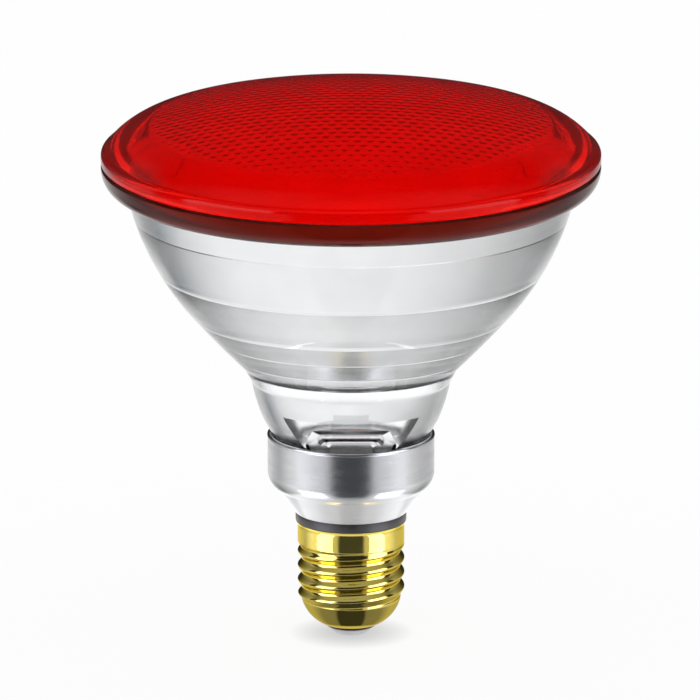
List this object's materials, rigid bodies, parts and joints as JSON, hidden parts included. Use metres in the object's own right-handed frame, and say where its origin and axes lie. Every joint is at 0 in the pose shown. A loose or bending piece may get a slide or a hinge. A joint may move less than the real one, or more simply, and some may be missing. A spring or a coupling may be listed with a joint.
{
  "type": "infrared heat lamp bulb",
  "caption": "Infrared reflector lamp with a domed red glass lens, a mirrored glass bowl and neck, an aluminium skirt and a screw base.",
  "frame": {"origin": "centre of the flat end of the centre contact's solder, the lamp's lowest point", "axes": "+Z along the lamp's axis from the base contact to the red lens; the front of the lamp, with the moulded pocket that the picture shows, looks towards -Y"},
  "size_m": [0.122, 0.122, 0.1354],
  "materials": {
    "red_glass": "glossy red-stained pressed glass, stippled inside",
    "mirrored_glass": "clear pressed glass over an aluminium mirror film inside the bowl and the neck, red stain on the rim flange",
    "clear_glass": "clear glass",
    "tungsten": "drawn tungsten wire",
    "nickel_wire": "drawn nickel wire",
    "ferrule_steel": "pressed nickel-iron cup",
    "cement": "baked basing cement",
    "aluminium": "satin drawn sheet",
    "black_insulation": "moulded black insulation",
    "brass": "bright rolled brass sheet",
    "black_glass": "black vitreous insulator",
    "tinned_contact": "tinned contact plate",
    "solder": "soft solder"
  },
  "bodies": {
    "root": {"front_lens": "red_glass", "reflector": "mirrored_glass", "filament": "tungsten", "left_post": "nickel_wire", "right_post": "nickel_wire", "support_bead": "clear_glass", "support_wire": "nickel_wire", "left_ferrule": "ferrule_steel", "right_ferrule": "ferrule_steel", "exhaust_tube": "clear_glass", "basing_cement": "cement", "skirt": "aluminium", "insulating_ring": "black_insulation", "screw_shell": "brass", "base_insulator": "black_glass", "centre_contact": "tinned_contact", "contact_solder": "solder", "shell_lead": "nickel_wire", "contact_lead": "nickel_wire", "fuse_sleeve": "clear_glass"}
  },
  "joints": []
}
